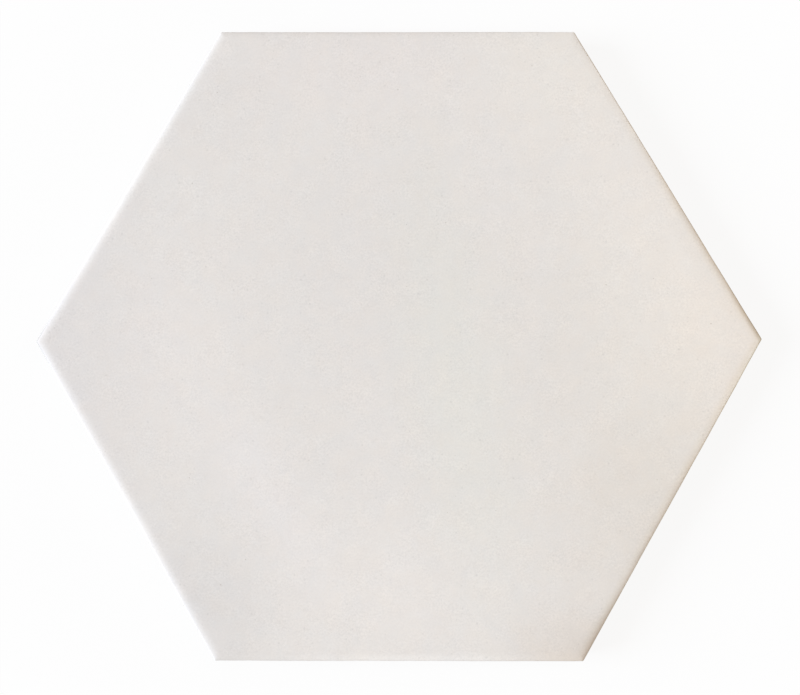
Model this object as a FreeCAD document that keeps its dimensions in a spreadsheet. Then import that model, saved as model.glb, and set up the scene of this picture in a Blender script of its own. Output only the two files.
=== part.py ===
import FreeCAD, Part
import math
import os

import Sketcher

# A hexagonal floor tile: one piece of clay, pressed in a die, glazed and fired.
# Millimetres. The origin is the middle of the back, +Z points up through the glazed face,
# and two opposite corners lie on the X axis. The back's ribs and border rest on z = 0.

# Lengths are in millimetres and the draft is in degrees.
SIZES = {
    # The hexagon. A side is measured between the points where the sides would cross.
    "side_length": 100,
    "thickness": 9,
    "corner_radius": 0.5,
    # The rim of the face: a shallow crown that leaves the flat, then a tight nose down to the wall
    "rim_width": 3,
    "crown_radius": 10,
    "nose_radius": 0.5,
    # The bevel between the wall and the back
    "back_bevel_width": 1.2,
    "back_bevel_height": 2,
    # The keying relief of the back: rings of hexagonal recesses that leave a net of ribs
    "cell_pitch": 16,
    "rib_width": 2,
    "recess_depth": 0.8,
    "recess_draft": 20,
    "back_border": 8,
}

SIDES = 6
TURN = 360 / SIDES

# What follows from the sizes: the distance from the middle of the tile or of a recess to its
# sides, and how many rings of recesses there is room for inside the border
TILE_REACH = "Sizes.side_length * cos(30 deg)"
RECESS_REACH = "(Sizes.cell_pitch - Sizes.rib_width) / 2"
RING_SPACING = "Sizes.cell_pitch * cos(30 deg)"
RING_COUNT = (
    f"floor(({TILE_REACH} - Sizes.back_border - {RECESS_REACH} / cos(30 deg))"
    f" / ({RING_SPACING}))"
)

# How a sketch numbers the points of its pieces, its horizontal axis and its origin
START, END, CENTRE = 1, 2, 3
HORIZONTAL_AXIS = -1
ORIGIN = (HORIZONTAL_AXIS, START)

CUTS = ("PartDesign::Fillet", "PartDesign::Pocket", "PartDesign::MultiTransform")
NEGLIGIBLE = 1e-6


def make_sheet(doc):
    """The spreadsheet that drives the tile."""
    sheet = doc.addObject("Spreadsheet::Sheet", "Sizes")
    for row, (name, value) in enumerate(SIZES.items(), start=1):
        sheet.set(f"A{row}", name)
        sheet.set(f"B{row}", str(value))
        sheet.setAlias(f"B{row}", name)
    doc.recompute()


def origin_feature(body, role):
    """One of the body's own origin planes or axes."""
    return next(item for item in body.Origin.OriginFeatures if item.Role == role)


def sketch_on(body, role, name):
    """An empty sketch on one of the body's origin planes."""
    sketch = body.newObject("Sketcher::SketchObject", name)
    sketch.AttachmentSupport = [(origin_feature(body, role), "")]
    sketch.MapMode = "FlatFace"
    return sketch


def measured(item, expression):
    """What an expression on the sheet comes to."""
    return float(item.evalExpression(expression))


def polar(radius, degrees, centre=FreeCAD.Vector()):
    """The point at this distance and direction from the centre."""
    angle = math.radians(degrees)
    return centre + FreeCAD.Vector(radius * math.cos(angle), radius * math.sin(angle), 0)


def circle(centre, radius):
    return Part.Circle(centre, FreeCAD.Vector(0, 0, 1), radius)


def arc(centre, radius, first_degrees, last_degrees):
    whole = circle(centre, radius)
    return Part.ArcOfCircle(whole, math.radians(first_degrees), math.radians(last_degrees))


def constrain(sketch, kind, *where):
    return sketch.addConstraint(Sketcher.Constraint(kind, *where))


def bind(sketch, name, kind, *where, to):
    """A named dimension that follows an expression on the sheet."""
    index = constrain(sketch, kind, *where, measured(sketch, to))
    sketch.renameConstraint(index, name)
    sketch.setExpression(f"Constraints.{name}", to)


def join(sketch, kind, *pieces):
    """Join the end of each piece to the start of the next, Coincident or Tangent."""
    for piece, following in zip(pieces, pieces[1:]):
        constrain(sketch, kind, piece, END, following, START)


def draw_hexagon(sketch, first_corner, reach, centre_x="0"):
    """A regular hexagon whose sides touch a construction circle of this reach.

    first_corner is the direction of one corner in degrees, and centre_x is the place of the
    middle on the sketch's horizontal axis.
    """
    centre = FreeCAD.Vector(measured(sketch, centre_x), 0, 0)
    side_reach = measured(sketch, reach)
    corner_reach = side_reach / math.cos(math.radians(TURN / 2))
    touched = sketch.addGeometry(circle(centre, side_reach), True)

    sides = []
    for number in range(SIDES):
        direction = first_corner + number * TURN
        first = polar(corner_reach, direction, centre)
        last = polar(corner_reach, direction + TURN, centre)
        side = sketch.addGeometry(Part.LineSegment(first, last), False)
        along = math.radians(direction + TURN / 2 + 90)
        constrain(sketch, "Angle", side, math.remainder(along, math.tau))
        constrain(sketch, "Tangent", side, touched)
        sides.append(side)

    join(sketch, "Coincident", *sides, sides[0])
    bind(sketch, "reach", "Radius", touched, to=reach)
    constrain(sketch, "PointOnObject", touched, CENTRE, HORIZONTAL_AXIS)
    bind(sketch, "centre_x", "DistanceX", *ORIGIN, touched, CENTRE, to=centre_x)


def draw_straight(sketch, corners, directions):
    """Straight edges from corner to corner, each Horizontal or Vertical."""
    edges = []
    for first, last, direction in zip(corners, corners[1:], directions):
        edge = sketch.addGeometry(Part.LineSegment(first, last), False)
        constrain(sketch, direction, edge)
        edges.append(edge)
    return edges


def draw_rim(sketch):
    """What comes off above the rim of one side, seen along that side.

    The crown is tangent to the flat face, and the nose is tangent to the crown and the wall.
    The waste reaches as far past the tile as the rim is wide.
    """
    wall = measured(sketch, TILE_REACH)
    face = measured(sketch, "Sizes.thickness")
    width = measured(sketch, "Sizes.rim_width")
    crown_radius = measured(sketch, "Sizes.crown_radius")
    nose_radius = measured(sketch, "Sizes.nose_radius")
    slope = math.degrees(math.asin((width - nose_radius) / (crown_radius - nose_radius)))

    crown_centre = FreeCAD.Vector(wall - width, face - crown_radius, 0)
    nose_centre = polar(crown_radius - nose_radius, 90 - slope, crown_centre)
    nose = sketch.addGeometry(arc(nose_centre, nose_radius, 0, 90 - slope), False)
    crown = sketch.addGeometry(arc(crown_centre, crown_radius, 90 - slope, 90), False)
    corners = [
        FreeCAD.Vector(wall - width, face, 0),
        FreeCAD.Vector(wall - width, face + width, 0),
        FreeCAD.Vector(wall + width, face + width, 0),
        FreeCAD.Vector(wall + width, nose_centre.y, 0),
        FreeCAD.Vector(wall, nose_centre.y, 0),
    ]
    rise, over, down, back = draw_straight(
        sketch, corners, ["Vertical", "Horizontal", "Vertical", "Horizontal"]
    )

    join(sketch, "Tangent", nose, crown)
    join(sketch, "Coincident", crown, rise, over, down, back, nose)
    constrain(sketch, "Vertical", crown, CENTRE, crown, END)
    constrain(sketch, "Horizontal", nose, CENTRE, nose, START)
    bind(sketch, "crown_radius", "Radius", crown, to="Sizes.crown_radius")
    bind(sketch, "nose_radius", "Radius", nose, to="Sizes.nose_radius")
    bind(sketch, "wall", "DistanceX", *ORIGIN, nose, START, to=TILE_REACH)
    bind(sketch, "face", "DistanceY", *ORIGIN, crown, END, to="Sizes.thickness")
    bind(sketch, "width", "DistanceX", crown, END, nose, START, to="Sizes.rim_width")
    bind(sketch, "clear_out", "DistanceX", back, END, back, START, to="Sizes.rim_width")
    bind(sketch, "clear_up", "DistanceY", rise, START, rise, END, to="Sizes.rim_width")


def draw_bevel(sketch):
    """What comes off below the bevel of one side, seen along that side.

    The waste reaches as far past the tile as the bevel is wide and high.
    """
    wall = measured(sketch, TILE_REACH)
    width = measured(sketch, "Sizes.back_bevel_width")
    height = measured(sketch, "Sizes.back_bevel_height")
    corners = [
        FreeCAD.Vector(wall, height, 0),
        FreeCAD.Vector(wall + width, height, 0),
        FreeCAD.Vector(wall + width, -height, 0),
        FreeCAD.Vector(wall - width, -height, 0),
        FreeCAD.Vector(wall - width, 0, 0),
    ]
    over, down, back, rise = draw_straight(
        sketch, corners, ["Horizontal", "Vertical", "Horizontal", "Vertical"]
    )
    bevel = sketch.addGeometry(Part.LineSegment(corners[-1], corners[0]), False)

    join(sketch, "Coincident", over, down, back, rise, bevel, over)
    constrain(sketch, "PointOnObject", bevel, START, HORIZONTAL_AXIS)
    bind(sketch, "wall", "DistanceX", *ORIGIN, bevel, END, to=TILE_REACH)
    bind(sketch, "width", "DistanceX", bevel, START, bevel, END, to="Sizes.back_bevel_width")
    bind(sketch, "height", "DistanceY", bevel, START, bevel, END, to="Sizes.back_bevel_height")
    bind(sketch, "clear_out", "DistanceX", over, START, over, END, to="Sizes.back_bevel_width")
    bind(sketch, "clear_down", "DistanceY", rise, START, rise, END, to="Sizes.back_bevel_height")


def pad_blank(body):
    """The pressed blank: the whole hexagon at full thickness, with its six corners rounded."""
    outline = sketch_on(body, "XY_Plane", "outline")
    draw_hexagon(outline, 0, TILE_REACH)
    blank = body.newObject("PartDesign::Pad", "blank")
    blank.Profile = outline
    blank.setExpression("Length", "Sizes.thickness")
    body.Document.recompute()

    upright = [
        f"Edge{number}"
        for number, edge in enumerate(blank.Shape.Edges, start=1)
        if abs(edge.tangentAt(edge.FirstParameter).z) > 0.5
    ]
    corners = body.newObject("PartDesign::Fillet", "corners")
    corners.Base = (blank, upright)
    corners.setExpression("Radius", "Sizes.corner_radius")


def cut_along_side(body, name, draw):
    """A cut past both ends of the side that faces +Y, with the section that draw gives it."""
    profile = sketch_on(body, "YZ_Plane", f"{name}_profile")
    draw(profile)
    cut = body.newObject("PartDesign::Pocket", f"{name}_cut")
    cut.Profile = profile
    cut.SideType = "Symmetric"
    cut.setExpression("Length", "2 * Sizes.side_length")
    return cut


def cut_all_edges(body):
    """The rim and the bevel, cut on one side and turned round to the other five."""
    cuts = [cut_along_side(body, "rim", draw_rim), cut_along_side(body, "bevel", draw_bevel)]
    edges = body.newObject("PartDesign::PolarPattern", "edges")
    edges.Originals = cuts
    edges.Axis = (origin_feature(body, "Z_Axis"), [""])
    edges.Angle = 360
    edges.Occurrences = SIDES
    body.Tip = edges


def cut_recess(body, name, **place):
    """One recess of the back, drafted so that it narrows as it rises into the clay."""
    outline = sketch_on(body, "XY_Plane", f"{name}_outline")
    draw_hexagon(outline, TURN / 2, RECESS_REACH, **place)
    recess = body.newObject("PartDesign::Pocket", name)
    recess.Profile = outline
    recess.Reversed = True
    recess.setExpression("Length", "Sizes.recess_depth")
    body.Document.recompute()

    depth = measured(recess, "Sizes.recess_depth")
    walls = [
        f"Face{number}"
        for number, face in enumerate(recess.Shape.Faces, start=1)
        if face.BoundBox.ZMax < depth + NEGLIGIBLE and abs(face.normalAt(0, 0).z) < NEGLIGIBLE
    ]
    draft = body.newObject("PartDesign::Draft", f"{name}_draft")
    draft.Base = (recess, walls)
    draft.NeutralPlane = (origin_feature(body, "XY_Plane"), [""])
    draft.PullDirection = (origin_feature(body, "Z_Axis"), [""])
    draft.Reversed = True
    draft.setExpression("Angle", "Sizes.recess_draft")
    draft.SupportTransform = True
    return outline, draft


def step_by_pitch(body, name, direction, count):
    """A row of recesses one pitch apart."""
    row = body.newObject("PartDesign::LinearPattern", name)
    row.Direction = direction
    row.Mode = "Spacing"
    row.setExpression("Offset", "Sizes.cell_pitch")
    row.setExpression("Occurrences", count)
    return row


def cut_recess_field(body):
    """The recesses of the back: one in the middle, and rings of 6, 12, 18 ... round it.

    The rings are three equal lozenges, a third of a turn apart. A lozenge starts at the recess
    next to the middle. It has a row for each ring along X, and each row runs on at 120 degrees
    with one recess more than there are rings.
    """
    cut_recess(body, "middle_recess")
    outline, first = cut_recess(body, "first_recess", centre_x="Sizes.cell_pitch")
    pitch = measured(outline, "Sizes.cell_pitch")
    guide = outline.addGeometry(Part.LineSegment(FreeCAD.Vector(), polar(pitch, 2 * TURN)), True)
    constrain(outline, "Coincident", guide, START, *ORIGIN)
    constrain(outline, "Angle", guide, math.radians(2 * TURN))
    bind(outline, "guide", "Distance", guide, to="Sizes.cell_pitch")

    field = body.newObject("PartDesign::MultiTransform", "recess_field")
    field.Originals = [first]
    outward = step_by_pitch(body, "outward", (origin_feature(body, "X_Axis"), [""]), RING_COUNT)
    slanting = step_by_pitch(body, "slanting", (outline, ["Axis0"]), f"{RING_COUNT} + 1")
    around = body.newObject("PartDesign::PolarPattern", "around")
    around.Axis = (origin_feature(body, "Z_Axis"), [""])
    around.Angle = 360
    around.Occurrences = 3
    field.Transformations = [outward, slanting, around]
    body.Tip = field


def check(doc, body):
    """Stop before anything is written if a feature failed or a cut took nothing away."""
    failed = [item.Name for item in doc.Objects if {"Invalid", "Error"} & set(item.State)]
    if failed or body.Shape.isNull() or not body.Shape.isValid():
        raise RuntimeError(f"the tile didn't build: {failed}")
    for cut in body.Group:
        if cut.TypeId in CUTS and cut.Shape.Volume >= cut.BaseFeature.Shape.Volume:
            raise RuntimeError(f"{cut.Name} takes nothing away")


def main():
    doc = FreeCAD.newDocument("hexagon_floor_tile")
    make_sheet(doc)
    body = doc.addObject("PartDesign::Body", "hexagon_tile")
    body.Placement = FreeCAD.Placement()
    pad_blank(body)
    cut_all_edges(body)
    cut_recess_field(body)
    doc.recompute()
    check(doc, body)

    os.makedirs("parts", exist_ok=True)
    body.Shape.exportStep(f"parts/{body.Label}.step")
    print(f"{body.Label}: {body.Shape.Volume / 1000:.1f} cm3, {len(body.Shape.Faces)} faces")


main()
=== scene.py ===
import math

import bmesh
import bpy
from mathutils import Matrix, Vector


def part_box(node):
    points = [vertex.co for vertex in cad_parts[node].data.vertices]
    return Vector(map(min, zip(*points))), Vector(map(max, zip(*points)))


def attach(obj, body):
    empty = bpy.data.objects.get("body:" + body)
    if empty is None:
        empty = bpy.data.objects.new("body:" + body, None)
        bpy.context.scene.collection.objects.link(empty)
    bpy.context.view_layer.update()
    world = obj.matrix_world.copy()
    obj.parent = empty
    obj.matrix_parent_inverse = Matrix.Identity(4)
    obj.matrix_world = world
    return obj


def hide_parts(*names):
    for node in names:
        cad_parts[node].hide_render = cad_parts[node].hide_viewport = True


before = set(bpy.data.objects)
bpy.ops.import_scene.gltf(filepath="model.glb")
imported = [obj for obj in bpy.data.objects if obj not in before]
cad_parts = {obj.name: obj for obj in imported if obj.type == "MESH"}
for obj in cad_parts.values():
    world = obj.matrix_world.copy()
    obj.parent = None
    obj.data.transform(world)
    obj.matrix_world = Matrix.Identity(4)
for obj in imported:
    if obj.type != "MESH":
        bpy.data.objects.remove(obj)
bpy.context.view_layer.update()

# A hexagonal floor tile, glazed on its face and bare on its back. Metres.
# Two corners lie on the X axis, +Z comes up through the glaze, and the back rests on z = 0.

MM = 0.001
SIDES = 6
SIXTH = math.tau / SIDES
HALF_SIXTH = SIXTH / 2

# From the middle of the tile to each side, and from its back to its face, as in the solid
upper_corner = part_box("hexagon_tile")[1]
REACH = upper_corner.y
THICKNESS = upper_corner.z

# How finely the outline is drawn, in steps along each side and round each corner
SIDE_STEPS = 48
CORNER_STEPS = 4
CORNER_RADIUS = 0.5 * MM

# The rim: a tight nose at the wall, then a fall that dies away towards the middle of the face.
# Going inwards its corners grow rounder, because the glaze fills them.
NOSE_RADIUS = 0.5 * MM
NOSE_STEPS = 6
RIM_SLOPE = math.radians(24)
RIM_FADE = 0.98 * MM
RIM_FALL = math.tan(RIM_SLOPE) * RIM_FADE
RIM_STEPS = 10
CORNER_FILL = 0.6
FLAT_INSET = 6.0 * MM

# Stretches where the glaze lies flatter over the rim: the middle and reach of each in
# millimetres, and the share of the fall that is missing there
EASED = {
    "upper_right": ((60, 66), 68, 0.68),
    "lower_right": ((90, -17), 48, 0.56),
}
# The height above the glaze's lower edge over which this easing dies away
EASE_HEIGHT = 2 * MM

# The wall: glaze runs over the rim and stops in a lip that stands proud of the bare body
GLAZE_EDGE = 5.4 * MM
GLAZE_THICKNESS = 0.08 * MM
LIP_HEIGHT = 0.12 * MM
GLAZE_RUN = 1.1 * MM
RUN_LENGTH = 7 * MM
BEVEL_WIDTH = 1.2 * MM
BEVEL_HEIGHT = 2.0 * MM
ARRIS_WIDTH = 0.25 * MM
ARRIS_STEPS = 3

# How far the pressed and fired piece strays from true
EDGE_WANDER = 0.12 * MM
EDGE_WANDER_LENGTH = 9 * MM
FACE_WANDER = 0.07 * MM
FACE_WANDER_LENGTH = 16 * MM

# The corners of this tile, by their direction in degrees, and how far each lies from that of a
# true hexagon, in millimetres along X and Y
CORNER_STRAY = {
    0: (-0.04, 0.11),
    60: (-0.51, 0.01),
    120: (0.33, 0.48),
    240: (0.12, -0.12),
    300: (-0.19, -0.38),
}

# The keying relief of the back
CELL_PITCH = 16 * MM
RIB_WIDTH = 1.6 * MM
MOUTH_REACH = (CELL_PITCH - RIB_WIDTH) / 2
RECESS_DEPTH = 0.8 * MM
RECESS_DRAFT = math.radians(20)
RECESS_EDGE = 0.3 * MM
RECESS_EDGE_STEPS = 2
RECESS_CORNER = 1.4 * MM
RECESS_CORNER_STEPS = 3
BACK_BORDER = 8 * MM

# Points nearer than the first of these are one point, and where the field of recesses is joined,
# those nearer than the second. A corner rounded by the third is welded sharp.
WELD = 0.05 * MM
FINE_WELD = WELD / 5
SHARP = WELD / 4

# Faces that turn by more than the first of these, in radians, meet in an arris, and those that
# turn by less than the second are shaded as one surface
ARRIS_TURN = 0.3
SMOOTH_TURN = math.radians(40)

# The profile of a bevel that is an arc of a circle
ARC = 0.5


# Modelling


def rise_and_run(radius, first, last, steps):
    """The steps of an arc whose slope goes from first to last: how far each goes in and up."""
    slopes = [first + (last - first) * step / steps for step in range(steps + 1)]
    for slope, following in zip(slopes, slopes[1:]):
        run = radius * abs(math.sin(following) - math.sin(slope))
        rise = radius * abs(math.cos(following) - math.cos(slope))
        yield run, rise


def new_mesh(name):
    """An empty object in edit mode."""
    bpy.ops.object.select_all(action="DESELECT")
    piece = bpy.data.objects.new(name, bpy.data.meshes.new(name))
    bpy.context.scene.collection.objects.link(piece)
    bpy.context.view_layer.objects.active = piece
    piece.select_set(True)
    bpy.ops.object.mode_set(mode="EDIT")
    return piece


def choose(piece, kind, wanted):
    """Select the vertices, edges or faces of the mesh in hand that wanted says yes to."""
    bpy.ops.mesh.select_mode(type=kind)
    bpy.ops.mesh.select_all(action="DESELECT")
    mesh = bmesh.from_edit_mesh(piece.data)
    for item in {"VERT": mesh.verts, "EDGE": mesh.edges, "FACE": mesh.faces}[kind]:
        if wanted(item):
            item.select_set(True)
    mesh.select_flush_mode()
    bmesh.update_edit_mesh(piece.data)


def corner_reach(reach):
    """From the middle of a hexagon to its corners."""
    return reach / math.cos(HALF_SIXTH)


def add_hexagon(radius, fill="NOTHING", height=0, turned=(0, 0, HALF_SIXTH)):
    """A hexagon added to the mesh in hand, with nothing else selected."""
    bpy.ops.mesh.select_mode(type="VERT")
    bpy.ops.mesh.select_all(action="DESELECT")
    bpy.ops.mesh.primitive_circle_add(
        vertices=SIDES, radius=radius, fill_type=fill, location=(0, 0, height), rotation=turned
    )


def round_corners(radius, steps):
    """Round the corners of the hexagon that is selected."""
    bpy.ops.mesh.bevel(
        affect="VERTICES", offset=radius * math.tan(HALF_SIXTH), segments=steps, profile=ARC
    )


def inset_of(point):
    """How far in from the nearest side of the tile a point lies, seen from above."""
    angles = [HALF_SIXTH + side * SIXTH for side in range(SIDES)]
    return REACH - max(point.x * math.cos(a) + point.y * math.sin(a) for a in angles)


def add_outline(piece, number, inset, height, corner_radius):
    """One closed outline of the tile, marked with its number."""
    add_hexagon(corner_reach(REACH - inset), height=height)
    round_corners(corner_radius, CORNER_STEPS)
    choose(piece, "EDGE", lambda edge: edge.is_wire and edge.calc_length() > REACH / 2)
    bpy.ops.mesh.subdivide(number_cuts=SIDE_STEPS - 1)
    mesh = bmesh.from_edit_mesh(piece.data)
    outline = mesh.verts.layers.int["outline"]
    for vertex in mesh.verts:
        if not vertex[outline]:
            vertex[outline] = number
    bmesh.update_edit_mesh(piece.data)


def bridge(piece, first, second):
    """A band of faces between two numbered outlines."""
    outline = bmesh.from_edit_mesh(piece.data).verts.layers.int["outline"]
    ends = [{first}, {second}]
    choose(piece, "EDGE", lambda edge: {vertex[outline] for vertex in edge.verts} in ends)
    bpy.ops.mesh.bridge_edge_loops()


def rim_outlines():
    """(inset, height, corner radius) of each outline of the rim, from the flat face outwards.

    The drop dies away exponentially, and the outlines share it out evenly. That also keeps them
    far enough apart in height for bridging, which crosses over between outlines nearly level."""
    nose = NOSE_RADIUS * (1 - math.sin(RIM_SLOPE))
    rows = []
    for step in range(1, RIM_STEPS + 1):
        share = step / RIM_STEPS
        rows.append((nose - RIM_FADE * math.log(share), THICKNESS - RIM_FALL * share))
    inset, height = rows[-1]
    for run, rise in rise_and_run(NOSE_RADIUS, RIM_SLOPE, math.pi / 2, NOSE_STEPS):
        inset -= run
        height -= rise
        rows.append((max(inset, 0), height))
    return [(inset, height, CORNER_RADIUS + CORNER_FILL * inset) for inset, height in rows]


def wall_outlines():
    """(inset, height, corner radius) of each outline of the wall and bevel, going down."""
    half_lip = LIP_HEIGHT / 2
    rows = [
        (0, GLAZE_EDGE + GLAZE_RUN),
        (0, GLAZE_EDGE + half_lip),
        (GLAZE_THICKNESS / 3, GLAZE_EDGE),
        (GLAZE_THICKNESS, GLAZE_EDGE - half_lip),
        (GLAZE_THICKNESS, GLAZE_EDGE - GLAZE_RUN),
        (GLAZE_THICKNESS, BEVEL_HEIGHT),
        (BEVEL_WIDTH, 0),
    ]
    return [(inset, height, CORNER_RADIUS) for inset, height in rows]


def model_shell():
    """The face, rim, wall and bevel of the tile, open at the back."""
    piece = new_mesh("glazed_tile")
    mesh = bmesh.from_edit_mesh(piece.data)
    mesh.verts.layers.int.new("outline")
    bmesh.update_edit_mesh(piece.data)

    rows = [(FLAT_INSET, THICKNESS, SHARP), *rim_outlines(), *wall_outlines()]
    for number, (inset, height, radius) in enumerate(rows, start=1):
        add_outline(piece, number, inset, height, radius)
        if number > 1:
            bridge(piece, number - 1, number)

    add_hexagon(corner_reach(REACH - FLAT_INSET), fill="TRIFAN", height=THICKNESS)
    bpy.ops.mesh.subdivide(number_cuts=SIDE_STEPS - 1)
    bpy.ops.mesh.select_all(action="SELECT")
    bpy.ops.mesh.remove_doubles(threshold=WELD)
    bpy.ops.object.mode_set(mode="OBJECT")
    return piece


def model_recess():
    """One recess of the back and the rib round it, pressed up into the clay."""
    piece = new_mesh("keying_recess")
    turned_over = (math.pi, 0, 0)
    add_hexagon(corner_reach(MOUTH_REACH), fill="NGON", turned=turned_over)
    round_corners(RECESS_CORNER, RECESS_CORNER_STEPS)
    bpy.ops.mesh.select_mode(type="FACE")
    bpy.ops.mesh.select_all(action="SELECT")
    steep = math.pi / 2 - RECESS_DRAFT
    lip = list(rise_and_run(RECESS_EDGE, 0, steep, RECESS_EDGE_STEPS))
    foot = list(rise_and_run(RECESS_EDGE, steep, 0, RECESS_EDGE_STEPS))
    wall_rise = RECESS_DEPTH - sum(rise for run, rise in lip + foot)
    wall = [(wall_rise * math.tan(RECESS_DRAFT), wall_rise)]
    for run, rise in lip + wall + foot:
        bpy.ops.mesh.inset(thickness=run, depth=-rise)

    add_hexagon(corner_reach(CELL_PITCH / 2), turned=turned_over)
    choose(piece, "EDGE", lambda edge: len(edge.link_faces) < 2)
    bpy.ops.mesh.fill()
    bpy.ops.object.mode_set(mode="OBJECT")
    return piece


def recess_places():
    """The middle of each recess: rings of 6, 12, 18 ... round the one in the middle."""
    row_spacing = CELL_PITCH * math.cos(HALF_SIXTH)
    rings = math.floor((REACH - BACK_BORDER - corner_reach(MOUTH_REACH)) / row_spacing)
    for row in range(-rings, rings + 1):
        for column in range(-rings, rings + 1):
            if abs(row + column) <= rings:
                yield Vector(((column + row / 2) * CELL_PITCH, row * row_spacing, 0))


def model_back():
    """The whole field of recesses: copies of one recess, side by side."""
    recess = model_recess()
    copies = []
    for place in recess_places():
        copy = recess.copy()
        copy.data = recess.data.copy()
        copy.data.transform(Matrix.Translation(place))
        bpy.context.scene.collection.objects.link(copy)
        copies.append(copy)
    bpy.data.objects.remove(recess)
    return copies


def join(pieces):
    """Join the pieces into the first of them."""
    bpy.ops.object.select_all(action="DESELECT")
    for piece in pieces:
        piece.select_set(True)
    bpy.context.view_layer.objects.active = pieces[0]
    bpy.ops.object.join()
    return pieces[0]


def close_back(piece):
    """Fill the border between the field of recesses and the bevel, and round the arrises."""
    bpy.ops.object.mode_set(mode="EDIT")
    bpy.ops.mesh.select_mode(type="EDGE")
    bpy.ops.mesh.select_all(action="SELECT")
    bpy.ops.mesh.remove_doubles(threshold=FINE_WELD)
    choose(piece, "EDGE", lambda edge: len(edge.link_faces) == 1)
    bpy.ops.mesh.fill()
    bpy.ops.mesh.select_all(action="SELECT")
    bpy.ops.mesh.normals_make_consistent(inside=False)

    def on_arris(edge):
        insets = [inset_of(vertex.co) for vertex in edge.verts]
        heights = [vertex.co.z for vertex in edge.verts]
        level = abs(heights[0] - heights[1]) < WELD
        foot = max(heights) < WELD and max(insets) < BEVEL_WIDTH + CORNER_RADIUS
        knee = all(abs(height - BEVEL_HEIGHT) < WELD for height in heights)
        shared = len(edge.link_faces) == 2
        return level and (foot or knee) and shared and edge.calc_face_angle() > ARRIS_TURN

    choose(piece, "EDGE", on_arris)
    bpy.ops.mesh.bevel(offset=ARRIS_WIDTH, segments=ARRIS_STEPS, profile=ARC)
    bpy.ops.object.mode_set(mode="OBJECT")


def weigh(piece, name, weight_at):
    """A vertex group whose weights weight_at works out from each point."""
    group = piece.vertex_groups.new(name=name)
    for vertex in piece.data.vertices:
        weight = weight_at(vertex.co)
        if weight > 0:
            group.add([vertex.index], weight, "REPLACE")


def shift(piece, group, direction, amount, texture=None):
    """Move the group's points: all one way, or to and fro as the texture says."""
    displace = piece.modifiers.new(group, "DISPLACE")
    displace.texture = texture
    displace.texture_coords = "LOCAL"
    displace.direction = direction
    displace.strength = amount
    displace.mid_level = 0.5 if texture else 0
    displace.vertex_group = group
    bpy.ops.object.modifier_apply(modifier=group)


def wander(piece, group, direction, amount, length):
    """Move the group's points softly to and fro, by up to half the amount."""
    clouds = bpy.data.textures.new(group, "CLOUDS")
    clouds.noise_scale = length
    clouds.noise_depth = 2
    shift(piece, group, direction, amount, clouds)


def eased_weight(point):
    """The share of the rim's fall that a point gets back, which fades out down the wall."""
    fallen = min(1, (THICKNESS - point.z) / RIM_FALL)
    upper = min(1, (point.z - GLAZE_EDGE) / EASE_HEIGHT)
    eased = 0
    for (x, y), reach, share in EASED.values():
        apart = min(1, math.dist(point.xy, (x * MM, y * MM)) / (reach * MM))
        eased += share * (1 - 3 * apart**2 + 2 * apart**3)
    return max(0, fallen * upper * eased)


def glaze_edge_weight(point):
    """1 along the lip of the glaze, falling to 0 a run above and below it."""
    if inset_of(point) > CORNER_RADIUS:
        return 0
    return max(0, 1 - max(0, abs(point.z - GLAZE_EDGE) - LIP_HEIGHT) / GLAZE_RUN)


def upright_weight(point):
    """Full on the wall and nose, dying away down the bevel and across the rim."""
    inward = 1 - inset_of(point) / FLAT_INSET
    return max(0, min(1, point.z / BEVEL_HEIGHT) * min(1, inward))


def face_weight(point):
    """1 on the face, falling to 0 down the rim."""
    return max(0, 1 - (THICKNESS - point.z) / NOSE_RADIUS)


def pull_corners(piece):
    """Move each corner by its stray. The sides stay straight, and the middle stays in place."""
    for degrees, (along_x, along_y) in CORNER_STRAY.items():
        name = f"corner_{degrees}"
        corner = math.radians(degrees)
        normals = [(math.cos(a), math.sin(a)) for a in (corner - HALF_SIXTH, corner + HALF_SIXTH)]

        def nearness(point):
            return max(0, min(point.x * x + point.y * y for x, y in normals) / REACH)

        weigh(piece, name, nearness)
        shift(piece, name, "X", along_x * MM)
        shift(piece, name, "Y", along_y * MM)


def model_tile():
    """The whole tile, glazed above its lip and bare below it."""
    piece = join([model_shell(), *model_back()])
    close_back(piece)
    weigh(piece, "eased", eased_weight)
    weigh(piece, "glaze_edge", glaze_edge_weight)
    weigh(piece, "upright", upright_weight)
    weigh(piece, "face", face_weight)

    bare, glazed = biscuit_material(), glaze_material()
    piece.data.materials.append(glazed)
    piece.data.materials.append(bare)
    for polygon in piece.data.polygons:
        polygon.material_index = 0 if polygon.center.z > GLAZE_EDGE - LIP_HEIGHT / 2 else 1

    shift(piece, "eased", "Z", RIM_FALL)
    wander(piece, "glaze_edge", "Z", 2 * GLAZE_RUN, RUN_LENGTH)
    wander(piece, "upright", "NORMAL", EDGE_WANDER, EDGE_WANDER_LENGTH)
    wander(piece, "face", "Z", FACE_WANDER, FACE_WANDER_LENGTH)
    pull_corners(piece)
    bpy.ops.object.shade_smooth_by_angle(angle=SMOOTH_TURN)

    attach(piece, "root")
    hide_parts("hexagon_tile")
    return piece


# Shader nodes


def add_node(tree, kind, inputs=(), **settings):
    """A new node. Each input is given by name or place, as a plain value or another's output."""
    node = tree.nodes.new(kind)
    for name, value in settings.items():
        setattr(node, name, value)
    for name, value in dict(inputs).items():
        if isinstance(value, bpy.types.NodeSocket):
            tree.links.new(value, node.inputs[name])
        else:
            node.inputs[name].default_value = value
    return node


def new_group(name, inputs, outputs):
    """An empty node group. Inputs are name: (kind, default), and outputs are name: kind."""
    tree = bpy.data.node_groups.new(name, "ShaderNodeTree")
    for socket, (kind, value) in inputs.items():
        made = tree.interface.new_socket(name=socket, in_out="INPUT", socket_type=f"NodeSocket{kind}")
        made.default_value = value
    for socket, kind in outputs.items():
        tree.interface.new_socket(name=socket, in_out="OUTPUT", socket_type=f"NodeSocket{kind}")
    return tree, tree.nodes.new("NodeGroupInput").outputs


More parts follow.
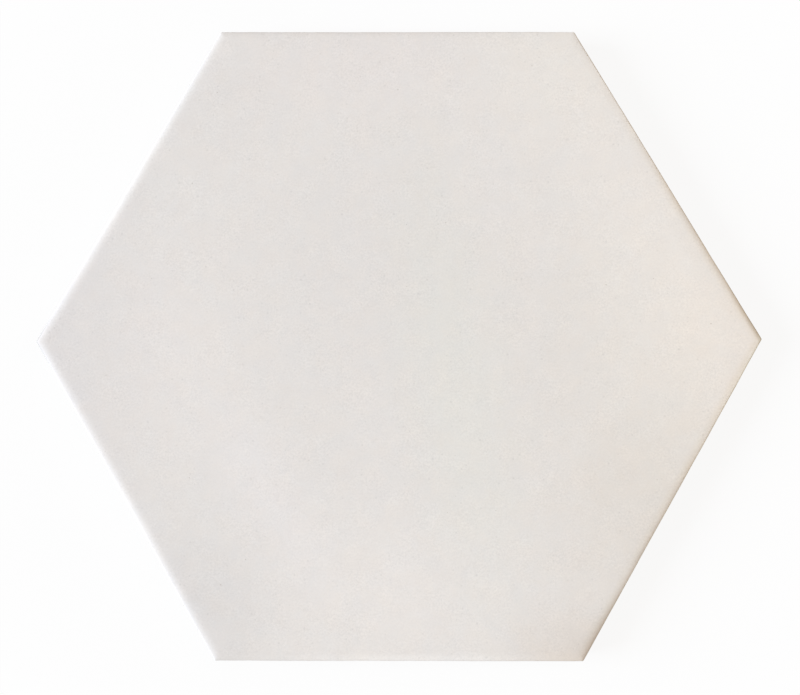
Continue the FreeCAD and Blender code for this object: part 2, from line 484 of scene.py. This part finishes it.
def finish_group(tree, **outputs):
    """The node group with its outputs joined up."""
    add_node(tree, "NodeGroupOutput", outputs)
    return tree


def use_group(tree, group, **inputs):
    """The outputs of a node group placed in a material, with its own values."""
    return add_node(tree, "ShaderNodeGroup", inputs, node_tree=group).outputs


def calculate(tree, operation, *values):
    """The result of a Math node."""
    node = add_node(tree, "ShaderNodeMath", enumerate(values), operation=operation)
    return node.outputs["Value"]


def vector_step(tree, operation, *values, output="Vector"):
    """The result of a Vector Math node."""
    node = add_node(tree, "ShaderNodeVectorMath", enumerate(values), operation=operation)
    return node.outputs[output]


def fade(tree, value, start, end, first=0.0, last=1.0):
    """Goes softly from first to last as the value goes from start to end."""
    spans = {"Value": value, "From Min": start, "From Max": end, "To Min": first, "To Max": last}
    node = add_node(tree, "ShaderNodeMapRange", spans, interpolation_type="SMOOTHSTEP")
    return node.outputs["Result"]


def noise(tree, where, size, detail=2.0, roughness=0.5):
    """Soft noise round 0.5, whose lumps are about this size in metres."""
    scale = calculate(tree, "DIVIDE", 1.0, size)
    inputs = {"Vector": where, "Scale": scale, "Detail": detail, "Roughness": roughness}
    return add_node(tree, "ShaderNodeTexNoise", inputs).outputs["Fac"]


def blend_colour(tree, how, factor, first, second):
    """Two colours blended; factor, first and second are values or outputs."""
    # A Mix node has sockets for each kind of value, and these are the ones for colours
    inputs = {0: factor, 6: first, 7: second}
    settings = {"data_type": "RGBA", "blend_type": how, "clamp_factor": True}
    return add_node(tree, "ShaderNodeMix", inputs, **settings).outputs[2]


def tint(tree, mask, colour, by):
    """The colour multiplied by a tint, as far as the mask lets it show."""
    return blend_colour(tree, "MULTIPLY", mask, colour, by)


def rgb(red, green, blue):
    """A colour for a socket, which wants a fourth value."""
    return (red, green, blue, 1.0)


def cloud_group():
    """A soft patch with a ragged outline."""
    tree, given = new_group(
        "soft_cloud",
        {
            "Place": ("Vector", (0, 0, 0)),
            "Centre": ("Vector", (0, 0, 0)),
            "Turn": ("Vector", (0, 0, 0)),
            "Spread": ("Vector", (1, 1, 1)),
            "Raggedness": ("Float", 0.3),
        },
        {"Mask": "Float"},
    )
    inside = add_node(
        tree,
        "ShaderNodeMapping",
        {
            "Vector": given["Place"],
            "Location": given["Centre"],
            "Rotation": given["Turn"],
            "Scale": given["Spread"],
        },
        vector_type="TEXTURE",
    ).outputs["Vector"]
    distance = vector_step(tree, "LENGTH", inside, output="Value")
    ragged = calculate(tree, "SUBTRACT", noise(tree, given["Place"], 11 * MM, 5.0, 0.6), 0.5)
    reach = calculate(tree, "MULTIPLY_ADD", ragged, given["Raggedness"], distance)
    return finish_group(tree, Mask=fade(tree, reach, 1.0, 0.0))


def grain_group():
    """The fine tooth of a fired surface: a value round 0, in two sizes of lump."""
    tree, given = new_group(
        "fired_grain",
        {"Place": ("Vector", (0, 0, 0)), "Size": ("Float", 0.4 * MM), "Coarse": ("Float", 0.3)},
        {"Value": "Float"},
    )
    fine = noise(tree, given["Place"], given["Size"], 3.0, 0.75)
    lumps = noise(tree, given["Place"], calculate(tree, "MULTIPLY", given["Size"], 6.0), 3.0, 0.6)
    coarse = calculate(tree, "MULTIPLY", calculate(tree, "SUBTRACT", lumps, 0.5), given["Coarse"])
    return finish_group(
        tree, Value=calculate(tree, "ADD", calculate(tree, "SUBTRACT", fine, 0.5), coarse)
    )


def speck_group():
    """Scattered round specks: one in each cell of the clay that the share picks."""
    tree, given = new_group(
        "specks",
        {
            "Place": ("Vector", (0, 0, 0)),
            "Spacing": ("Float", 3 * MM),
            "Size": ("Float", 0.2 * MM),
            "Share": ("Float", 0.1),
        },
        {"Mask": "Float"},
    )
    scale = calculate(tree, "DIVIDE", 1.0, given["Spacing"])
    cells = add_node(tree, "ShaderNodeTexVoronoi", {"Vector": given["Place"], "Scale": scale})
    distance = calculate(tree, "MULTIPLY", cells.outputs["Distance"], given["Spacing"])
    draw = add_node(tree, "ShaderNodeSeparateColor", {"Color": cells.outputs["Color"]})
    picked = calculate(tree, "LESS_THAN", draw.outputs["Red"], given["Share"])
    width = calculate(tree, "MULTIPLY", given["Size"], draw.outputs["Green"])
    round_speck = fade(tree, calculate(tree, "DIVIDE", distance, width), 1.0, 0.4)
    return finish_group(tree, Mask=calculate(tree, "MULTIPLY", round_speck, picked))


def inset_group():
    """How far in from the nearest side of the tile a place lies, in metres."""
    tree, given = new_group("side_inset", {"Place": ("Vector", (0, 0, 0))}, {"Inset": "Float"})
    furthest = None
    # One turn of the loop for each pair of opposite sides
    for side in range(SIDES // 2):
        angle = HALF_SIXTH + side * SIXTH
        direction = (math.cos(angle), math.sin(angle), 0)
        along = vector_step(tree, "DOT_PRODUCT", given["Place"], direction, output="Value")
        reach = calculate(tree, "ABSOLUTE", along)
        furthest = reach if furthest is None else calculate(tree, "MAXIMUM", furthest, reach)
    return finish_group(tree, Inset=calculate(tree, "SUBTRACT", REACH, furthest))


CLOUD = cloud_group()
GRAIN = grain_group()
SPECKS = speck_group()
INSET = inset_group()


# Materials


def new_material(name):
    """A material, its node tree, its Principled BSDF and the place on the object."""
    material = bpy.data.materials.new(name)
    material.use_nodes = True
    tree = material.node_tree
    shader = tree.nodes["Principled BSDF"]
    place = add_node(tree, "ShaderNodeTexCoord").outputs["Object"]
    return material, tree, shader, place


def roughen(tree, shader, height, distance):
    """A Bump node of this depth in metres, which feeds the shader."""
    bump = add_node(tree, "ShaderNodeBump", {"Height": height, "Distance": distance})
    tree.links.new(bump.outputs["Normal"], shader.inputs["Normal"])


# The glaze: its colour, its roughness where the grain is lowest and highest, how deep the grain
# is, and how many times as deep a pinhole is
GLAZE_COLOUR = rgb(0.758, 0.739, 0.713)
GLAZE_ROUGHNESS = (0.80, 0.90)
GLAZE_TOOTH = 0.006 * MM
PINHOLE_DEPTH = 4.0

# What each mark and each stretch of the glaze multiplies its colour by
ROSY_CAST = rgb(1.012, 0.996, 0.980)
MOTTLE = rgb(0.984, 0.984, 0.986)
PALE_GRAIN = rgb(1.17, 1.17, 1.17)
FRECKLE = rgb(0.925, 0.925, 0.925)
PINHOLE = rgb(0.80, 0.78, 0.76)
PALE_SPECK = rgb(1.07, 1.06, 1.02)
GATHERED_GLAZE = rgb(0.970, 0.968, 0.970)
# The next is painted warm shade over the right-hand rims, which lean away from the light
PAINTED_WARM_SHADE = rgb(1.01, 0.98, 0.925)
WALL_GLAZE = rgb(0.86, 0.84, 0.81)

# The bands that the tints of the rim come in over, each from where it begins to where it is in
# full. The first four are distances in from the sides.
# The first band carries the painted warm shade over the right-hand rims
PAINTED_SHADE_BAND = (3.3 * MM, 0.3 * MM)
GATHERED_BAND = (1.2 * MM, 3.0 * MM)
GATHERED_INNER_BAND = (8.0 * MM, 3.0 * MM)
ARRIS_BAND = (0.5 * MM, 0.1 * MM)
# The next two are heights, and the last two are places along X
NOSE_BAND = (THICKNESS - 1.6 * MM, THICKNESS - 0.8 * MM)
WALL_BAND = (THICKNESS - 1.0 * MM, THICKNESS - 2.0 * MM)
LEFT_BAND = (-0.4 * REACH, -0.8 * REACH)
RIGHT_BAND = (0.35 * REACH, 0.85 * REACH)

# The clouds laid on the glaze: middle, half length and half width in millimetres, turn in degrees,
# and what the glaze's colour is multiplied by at the middle. Most are the glaze's own clouding;
# the others are painted light and shade, as marked below.
CLOUDS = {
    # Painted warm light from the right, over the right half and round the right corner
    "painted_warm_light_half": ((75, -12), (62, 130), 0, (1.004, 0.998, 0.976)),
    "painted_warm_light_corner": ((99, -3), (40, 46), 0, (1.032, 1.011, 0.990)),
    "green_middle": ((16, -12), (24, 92), 8, (0.988, 1.004, 0.988)),
    "dull_top_left": ((-48, 68), (26, 26), 0, (0.984, 0.982, 0.984)),
    "pink_top": ((-12, 78), (52, 24), 0, (1.008, 0.996, 0.998)),
    "cool_corner": ((-108, 0), (60, 90), 0, (0.970, 0.965, 0.978)),
    "pale_left": ((-60, -4), (26, 48), 8, (1.026, 1.021, 1.020)),
    "pale_slant": ((-36, -42), (17, 46), 28, (1.034, 1.034, 1.046)),
    "pale_bottom": ((-3, -70), (46, 36), 0, (1.048, 1.044, 1.040)),
    "dull_bottom_left": ((-60, -75), (34, 34), -30, (0.936, 0.938, 0.948)),
    "dull_bottom_right": ((62, -42), (26, 40), -30, (0.966, 0.953, 0.938)),
    "dull_upper_middle": ((-4, 22), (56, 56), 0, (0.976, 0.976, 0.978)),
    "dull_right_middle": ((42, -8), (26, 52), 0, (0.980, 0.978, 0.976)),
    # These three are the glaze's clouding and painted light from the right together
    "pale_upper_right": ((66, 44), (28, 52), 24, (1.030, 1.026, 1.024)),
    "pale_top_right": ((44, 76), (36, 32), 0, (1.028, 1.024, 1.008)),
    "pale_right": ((84, 16), (40, 48), 0, (1.030, 1.026, 1.022)),
    # Painted highlights along the lower and left-hand rims, which lean towards the light
    "painted_highlight_lower_rim": ((4, -87), (66, 3.0), 0, (1.110, 1.115, 1.115)),
    "painted_highlight_upper_left_rim": ((-83, 29), (62, 3.6), 60, (1.085, 1.088, 1.095)),
    "painted_highlight_lower_left_rim": ((-75, -43), (76, 3.4), -60, (1.045, 1.045, 1.050)),
    # Painted shade round the lower right corner and along the right-hand rims, which lean away from
    # the light
    "painted_shade_lower_right_corner": ((47, -86), (25, 20), 0, (0.945, 0.906, 0.868)),
    "painted_shade_lower_right_rim": ((54, -80), (19, 5), 60, (0.930, 0.920, 0.900)),
    "painted_shade_upper_right_rim": ((98, 3), (19, 1.6), -60, (0.790, 0.755, 0.690)),
    # Painted light on the shaded right-hand rims
    "painted_light_upper_right_rim": ((57, 74), (40, 2.4), -60, (1.050, 1.065, 1.090)),
    "painted_light_lower_right_rim": ((67, -57), (32, 2.4), 60, (1.060, 1.080, 1.110)),
    "painted_light_right_corner_rim": ((97, -5), (26, 1.6), 60, (1.080, 1.130, 1.150)),
}

# Tints along the arris, written in the same way: painted light on the shaded right-hand arris,
# painted shade on it near the right corner, and a darker line round the left corner
ARRIS_CLOUDS = {
    "pale_upper_right": ((55, 78), (50, 10), -60, (1.17, 1.21, 1.26)),
    "painted_light_lower_right": ((88, -21), (75, 10), 60, (1.15, 1.18, 1.21)),
    "painted_shade_upper_right_arris": ((97, 4), (64, 10), -60, (0.88, 0.88, 0.86)),
    "dark_left_corner_arris": ((-100, 0), (13, 13), 0, (0.68, 0.68, 0.67)),
}


def lay_clouds(tree, place, colour, clouds, within=1.0):
    """The colour with soft patches of tint laid over it, as far as within lets them show."""
    # A cloud reaches a metre up and down, so it is the same at any height of the tile
    up_and_down = 1
    for (x, y), (length, width), turn, by in clouds.values():
        mask = use_group(
            tree,
            CLOUD,
            Place=place,
            Centre=(x * MM, y * MM, THICKNESS),
            Turn=(0, 0, math.radians(turn)),
            Spread=(length * MM, width * MM, up_and_down),
            Raggedness=0.5,
        )["Mask"]
        colour = tint(tree, calculate(tree, "MULTIPLY", mask, within), colour, rgb(*by))
    return colour


def clouded_glaze(tree, place):
    """Warm white glaze with slow clouds, a rosy cast here and there, and faint mottling. Among the
    clouds are painted warm light towards the right and painted light and shade along the rims.
    """
    colour = lay_clouds(tree, place, GLAZE_COLOUR, CLOUDS)
    rosy = fade(tree, noise(tree, place, 7 * MM, 5.0, 0.7), 0.3, 0.7)
    colour = tint(tree, rosy, colour, ROSY_CAST)
    mottled = fade(tree, noise(tree, place, 5 * MM, 3.0, 0.5), 0.3, 0.7)
    return tint(tree, mottled, colour, MOTTLE)


def mark_glaze(tree, place, colour, grain, pinholes):
    """The colour with the grain, freckles, pinholes and pale specks of a fired glaze."""
    busy = fade(tree, noise(tree, place, 9 * MM, 3.0, 0.6), 0.35, 0.65, 0.5, 1.5)
    lit = fade(tree, calculate(tree, "MULTIPLY", grain, busy), -0.45, 0.45)
    colour = tint(tree, lit, colour, PALE_GRAIN)
    freckles = use_group(tree, SPECKS, Place=place, Spacing=1.3 * MM, Size=0.44 * MM, Share=0.4)
    colour = tint(tree, calculate(tree, "MULTIPLY", freckles["Mask"], busy), colour, FRECKLE)
    colour = tint(tree, pinholes, colour, PINHOLE)
    pale = use_group(tree, SPECKS, Place=place, Spacing=19 * MM, Size=0.6 * MM, Share=0.14)
    return tint(tree, pale["Mask"], colour, PALE_SPECK)


def colour_rim(tree, place, colour):
    """The colour where the glaze gathers behind the left-hand rims and is thinner down the wall, with
    painted warm shade over the right-hand rims, painted light and shade along the right-hand arris,
    and a darker line round the left corner."""
    inset = use_group(tree, INSET, Place=place)["Inset"]
    axes = add_node(tree, "ShaderNodeSeparateXYZ", {"Vector": place}).outputs
    sideways, height = axes["X"], axes["Z"]

    gathered = calculate(
        tree, "MULTIPLY", fade(tree, inset, *GATHERED_BAND), fade(tree, inset, *GATHERED_INNER_BAND)
    )
    gathered = calculate(tree, "MULTIPLY", gathered, fade(tree, sideways, *LEFT_BAND))
    colour = tint(tree, gathered, colour, GATHERED_GLAZE)

    # Painted warm shade over the right-hand rims, which lean away from the light, patchy along them
    patchy_shade = fade(tree, noise(tree, place, 6 * MM, 4.0, 0.65), 0.3, 0.7, 0.45, 1.0)
    painted_shade_mask = calculate(tree, "MULTIPLY", fade(tree, inset, *PAINTED_SHADE_BAND), patchy_shade)
    painted_shade_mask = calculate(tree, "MULTIPLY", painted_shade_mask, fade(tree, sideways, *RIGHT_BAND))
    colour = tint(tree, painted_shade_mask, colour, PAINTED_WARM_SHADE)

    # Along the arris: painted light and painted shade on the right-hand rims, and a darker line round
    # the left corner
    nose = fade(tree, height, *NOSE_BAND)
    arris = calculate(tree, "MULTIPLY", nose, fade(tree, inset, *ARRIS_BAND))
    colour = lay_clouds(tree, place, colour, ARRIS_CLOUDS, within=arris)
    return tint(tree, fade(tree, height, *WALL_BAND), colour, WALL_GLAZE)


def glaze_material():
    """Matt glaze: clouded, finely grained and freckled, with painted light and shade at the rim and
    on its right side.
    """
    material, tree, shader, place = new_material("matt_glaze")
    grain = use_group(tree, GRAIN, Place=place, Size=0.57 * MM, Coarse=0.16)["Value"]
    holes = use_group(tree, SPECKS, Place=place, Spacing=2.2 * MM, Size=0.3 * MM, Share=0.12)
    pinholes = holes["Mask"]

    colour = clouded_glaze(tree, place)
    colour = mark_glaze(tree, place, colour, grain, pinholes)
    colour = colour_rim(tree, place, colour)
    tree.links.new(colour, shader.inputs["Base Color"])
    roughness = fade(tree, grain, -0.3, 0.3, *GLAZE_ROUGHNESS)
    tree.links.new(roughness, shader.inputs["Roughness"])
    sunk = calculate(tree, "MULTIPLY", pinholes, -PINHOLE_DEPTH)
    roughen(tree, shader, calculate(tree, "ADD", grain, sunk), GLAZE_TOOTH)
    return material


# The bare body: its darker and paler clay, its roughness, how deep its grain is, and how many
# times as deep its pits are
CLAY = (rgb(0.60, 0.50, 0.385), rgb(0.66, 0.57, 0.455))
CLAY_ROUGHNESS = 0.9
CLAY_TOOTH = 0.05 * MM
PIT_DEPTH = 0.8
# What its sand and dark specks multiply that colour by, the white that the kiln shelf leaves,
# and the heights that the white fades in between
SAND = rgb(0.86, 0.85, 0.84)
DARK_SPECK = rgb(0.62, 0.52, 0.42)
SHELF_WHITE = rgb(0.78, 0.75, 0.70)
SHELF_BAND = (0.18 * MM, 0.0)


def biscuit_material():
    """The bare fired body: sandy, open and dusted with white from the kiln shelf."""
    material, tree, shader, place = new_material("fired_body")
    grain = use_group(tree, GRAIN, Place=place, Size=0.35 * MM, Coarse=0.9)["Value"]
    cloud = fade(tree, noise(tree, place, 14 * MM, 4.0, 0.6), 0.35, 0.65)
    colour = blend_colour(tree, "MIX", cloud, *CLAY)
    colour = tint(tree, fade(tree, grain, -0.35, 0.35), colour, SAND)
    dark = use_group(tree, SPECKS, Place=place, Spacing=1.3 * MM, Size=0.3 * MM, Share=0.2)
    colour = tint(tree, dark["Mask"], colour, DARK_SPECK)

    height = add_node(tree, "ShaderNodeSeparateXYZ", {"Vector": place}).outputs["Z"]
    worn = fade(tree, noise(tree, place, 4 * MM, 6.0, 0.7), 0.38, 0.55)
    dusted = calculate(tree, "MULTIPLY", fade(tree, height, *SHELF_BAND), worn)
    colour = blend_colour(tree, "MIX", dusted, colour, SHELF_WHITE)

    tree.links.new(colour, shader.inputs["Base Color"])
    shader.inputs["Roughness"].default_value = CLAY_ROUGHNESS
    pitted = calculate(tree, "MULTIPLY_ADD", dark["Mask"], -PIT_DEPTH, grain)
    roughen(tree, shader, pitted, CLAY_TOOTH)
    return material


# The studio


FLOOR_SIZE = 8.0
# The floor's colour as it is seen, and the darker one that it lights the tile with
FLOOR_SEEN = rgb(0.93, 0.93, 0.93)
FLOOR_LIT = rgb(0.55, 0.55, 0.55)
# How much of the floor's own shading shows, and how far from the tile's middle: in full up to the
# first distance, and not at all past the second
SHADOW_SHARE = 0.10
SHADOW_REACH = (0.10, 0.20)


def seen_directly(tree):
    """1 for rays from the camera, a mirror or glass, and 0 for light that is on its way."""
    path = add_node(tree, "ShaderNodeLightPath").outputs
    total = calculate(tree, "ADD", path["Is Camera Ray"], path["Is Glossy Ray"])
    total = calculate(tree, "ADD", total, path["Is Transmission Ray"])
    return calculate(tree, "MINIMUM", total, 1.0)


def lay_floor():
    """A white floor, which shows the tile's shadow faintly and returns a part of the light."""
    bpy.ops.object.select_all(action="DESELECT")
    bpy.ops.mesh.primitive_plane_add(size=FLOOR_SIZE)
    floor = bpy.context.object
    floor.name = "floor"
    material = bpy.data.materials.new("white_floor")
    material.use_nodes = True
    tree = material.node_tree
    lit = tree.nodes["Principled BSDF"]
    direct = seen_directly(tree)
    colour = blend_colour(tree, "MIX", direct, FLOOR_LIT, FLOOR_SEEN)
    tree.links.new(colour, lit.inputs["Base Color"])
    lit.inputs["Roughness"].default_value = 1.0
    lit.inputs["Specular IOR Level"].default_value = 0.0
    white = add_node(tree, "ShaderNodeEmission", {"Strength": 1.0})
    place = add_node(tree, "ShaderNodeTexCoord").outputs["Object"]
    distance = vector_step(tree, "LENGTH", place, output="Value")
    plain = fade(tree, distance, *SHADOW_REACH, 1 - SHADOW_SHARE, 1.0)
    share = calculate(tree, "MULTIPLY", direct, plain)
    mixed = add_node(
        tree, "ShaderNodeMixShader", {0: share, 1: lit.outputs["BSDF"], 2: white.outputs["Emission"]}
    )
    tree.links.new(mixed.outputs["Shader"], tree.nodes["Material Output"].inputs["Surface"])
    floor.data.materials.append(material)


AMBIENT = rgb(0.36, 0.30, 0.235)


def light_world():
    """An even surround, white to look at, which lights the tile warmly from all sides."""
    world = bpy.data.worlds.new("studio")
    world.use_nodes = True
    tree = world.node_tree
    background = tree.nodes["Background"]
    colour = blend_colour(tree, "MIX", seen_directly(tree), AMBIENT, rgb(1, 1, 1))
    tree.links.new(colour, background.inputs["Color"])
    bpy.context.scene.world = world


def hang_lamp(name, azimuth, elevation, distance, size, level, colour):
    """A square soft box aimed at the tile from a direction in degrees. Its level is how bright a
    white face that lies level there looks under it, where 1 is full white."""
    angle, height = math.radians(azimuth), math.radians(elevation)
    across = math.cos(height)
    towards = Vector((math.cos(angle) * across, math.sin(angle) * across, math.sin(height)))
    lamp = bpy.data.lights.new(name, "AREA")
    lamp.shape = "SQUARE"
    lamp.size = size
    lamp.color = colour
    lamp.energy = level * math.pi**2 * distance**2 / math.sin(height)
    hung = bpy.data.objects.new(name, lamp)
    hung.location = towards * distance
    hung.rotation_euler = towards.to_track_quat("Z", "Y").to_euler()
    bpy.context.scene.collection.objects.link(hung)


# The camera's lens and place, the way that it looks and its roll, worked out from the tile's
# corners in the photograph
LENS = 50
CAMERA_PLACE = Vector((0.00250, -0.02246, 0.3137))
CAMERA_LOOK = Vector((-0.0066, 0.0671, -0.9977))
CAMERA_ROLL = math.radians(-0.15)


def place_camera():
    """The camera, over the tile and a little to its front."""
    camera = bpy.data.cameras.new("camera")
    camera.lens = LENS
    camera.clip_start = 0.01
    shot = bpy.data.objects.new("camera", camera)
    shot.location = CAMERA_PLACE
    back = -CAMERA_LOOK.normalized()
    right = Vector((math.cos(CAMERA_ROLL), math.sin(CAMERA_ROLL), 0))
    up = back.cross(right).normalized()
    right = up.cross(back)
    shot.rotation_euler = Matrix((right, up, back)).transposed().to_euler()
    bpy.context.scene.collection.objects.link(shot)
    bpy.context.scene.camera = shot


model_tile()
lay_floor()
light_world()
hang_lamp("key", azimuth=184, elevation=26, distance=6, size=3, level=0.58, colour=(0.86, 0.98, 1.14))
hang_lamp("fill", azimuth=8, elevation=58, distance=0.5, size=0.3, level=0.13, colour=(1, 0.86, 0.72))
place_camera()
bpy.context.scene.view_settings.view_transform = "Standard"
